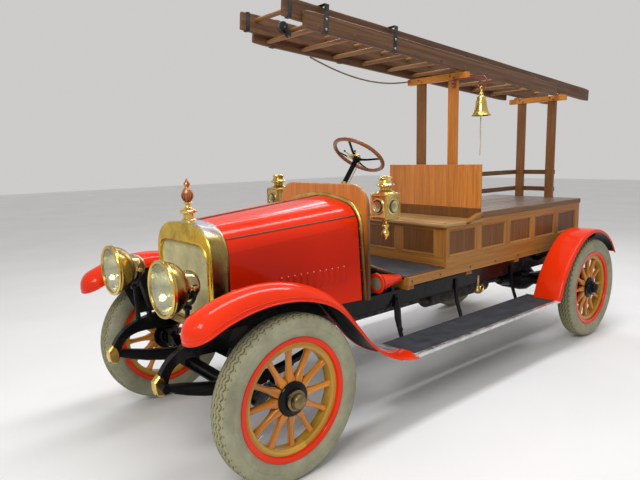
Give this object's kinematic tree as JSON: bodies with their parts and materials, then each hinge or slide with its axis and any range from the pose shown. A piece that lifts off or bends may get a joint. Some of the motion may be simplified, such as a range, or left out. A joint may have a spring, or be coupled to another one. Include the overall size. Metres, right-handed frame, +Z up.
{
  "type": "fire engine",
  "caption": "Vintage open fire engine with spoked wheels that steer and roll, lifting hood halves, a sliding two-part ladder on a rack and a swinging bell.",
  "frame": {"origin": "on the ground under the middle of the vehicle's outline", "axes": "+X to the vehicle's left, +Y to the rear, so the nose faces -Y, +Z up"},
  "size_m": [1.682, 4.997, 2.6203],
  "materials": {
    "tyre": "matte",
    "wheel_wood": "varnished",
    "red_paint": "gloss",
    "brass": "polished",
    "black_paint": "satin",
    "core_metal": "matte",
    "cast_iron": "matte",
    "body_wood": "varnished",
    "deck_wood": "satin",
    "rack_wood": "varnished",
    "ladder_wood": "satin",
    "board_rubber": "ribbed",
    "glass": "clear",
    "cord": "woven",
    "rope": "laid",
    "steer_wood": "varnished"
  },
  "bodies": {
    "chassis": {"bell_bracket": "red_paint", "body_front": "body_wood", "body_rear": "body_wood", "body_sides": "body_wood", "chassis_frame": "black_paint", "dash_board": "body_wood", "dash_moulding": "brass", "deck": "deck_wood", "driveline": "black_paint", "engine_block": "cast_iron", "extinguisher": "red_paint", "floor_board": "body_wood", "front_axle": "black_paint", "front_fenders": "red_paint", "hand_levers": "black_paint", "headlamp_brackets": "black_paint", "headlamp_glasses": "glass", "headlamps": "brass", "irons": "black_paint", "ladder_base": "ladder_wood", "ladder_rope": "rope", "leaf_springs": "black_paint", "rack_front": "rack_wood", "rack_rails": "rack_wood", "rack_rear": "rack_wood", "radiator_cap": "brass", "radiator_core": "core_metal", "radiator_shell": "brass", "rear_axle": "black_paint", "rear_fenders": "red_paint", "running_boards": "board_rubber", "seat_back": "body_wood", "seat_board": "body_wood", "side_lamps": "brass", "silencer": "black_paint", "sills": "body_wood", "steering_column": "black_paint", "undertray": "black_paint"},
    "knuckle_left": {"knuckle_left": "black_paint"},
    "knuckle_right": {"knuckle_right": "black_paint"},
    "tie_rod": {"tie_rod": "black_paint"},
    "front_left_wheel": {"tyre_front_left": "tyre", "wheel_front_left": "wheel_wood"},
    "front_right_wheel": {"tyre_front_right": "tyre", "wheel_front_right": "wheel_wood"},
    "rear_left_wheel": {"tyre_rear_left": "tyre", "wheel_rear_left": "wheel_wood"},
    "rear_right_wheel": {"tyre_rear_right": "tyre", "wheel_rear_right": "wheel_wood"},
    "steering_wheel": {"steering_wheel": "steer_wood"},
    "hood_left": {"hood_left": "red_paint"},
    "hood_right": {"hood_right": "red_paint"},
    "ladder_fly": {"ladder_fly": "ladder_wood"},
    "bell": {"bell": "brass", "bell_cord": "cord"}
  },
  "joints": [
    {"name": "steer_left", "type": "hinge", "parent": "chassis", "child": "knuckle_left", "pos_m": [0.612, -1.939, 0.4475], "axis": [0, 0, 1], "range_deg": [-30, 30]},
    {"name": "steer_right", "type": "hinge", "parent": "chassis", "child": "knuckle_right", "pos_m": [-0.612, -1.939, 0.4475], "axis": [0, 0, 1], "range_deg": [-30, 30]},
    {"name": "tie_rod_pivot", "type": "hinge", "parent": "knuckle_left", "child": "tie_rod", "pos_m": [0.612, -1.749, 0.374], "axis": [0, 0, 1], "range_deg": [-30, 30]},
    {"name": "steering_wheel_turn", "type": "hinge", "parent": "chassis", "child": "steering_wheel", "pos_m": [-0.28, -0.409, 1.69], "axis": [0, 0.6, 0.8], "range_deg": [-362, 362]},
    {"name": "front_left_spin", "type": "hinge", "parent": "knuckle_left", "child": "front_left_wheel", "pos_m": [0.736, -1.939, 0.4475], "axis": [1, 0, 0], "continuous": true},
    {"name": "front_right_spin", "type": "hinge", "parent": "knuckle_right", "child": "front_right_wheel", "pos_m": [-0.736, -1.939, 0.4475], "axis": [1, 0, 0], "continuous": true},
    {"name": "rear_left_spin", "type": "hinge", "parent": "chassis", "child": "rear_left_wheel", "pos_m": [0.736, 1.511, 0.4475], "axis": [1, 0, 0], "continuous": true},
    {"name": "rear_right_spin", "type": "hinge", "parent": "chassis", "child": "rear_right_wheel", "pos_m": [-0.736, 1.511, 0.4475], "axis": [1, 0, 0], "continuous": true},
    {"name": "hood_left_lift", "type": "hinge", "parent": "chassis", "child": "hood_left", "pos_m": [0, -2.019, 1.334], "axis": [0, -0.9957, -0.0927], "range_deg": [0, 70]},
    {"name": "hood_right_lift", "type": "hinge", "parent": "chassis", "child": "hood_right", "pos_m": [0, -2.019, 1.334], "axis": [0, 0.9957, 0.0927], "range_deg": [0, 70]},
    {"name": "ladder_slide", "type": "slide", "parent": "chassis", "child": "ladder_fly", "axis": [0, -0.9972, 0.0742], "range_m": [0, 2.6]},
    {"name": "bell_swing", "type": "hinge", "parent": "chassis", "child": "bell", "pos_m": [0.442, 0.2, 2.176], "axis": [1, 0, 0], "range_deg": [-35, 35]}
  ],
  "couplings": [
    {"joint": "steer_right", "follows": "steer_left", "ratio": 1},
    {"joint": "tie_rod_pivot", "follows": "steer_left", "ratio": -1},
    {"joint": "steering_wheel_turn", "follows": "steer_left", "ratio": 12}
  ]
}
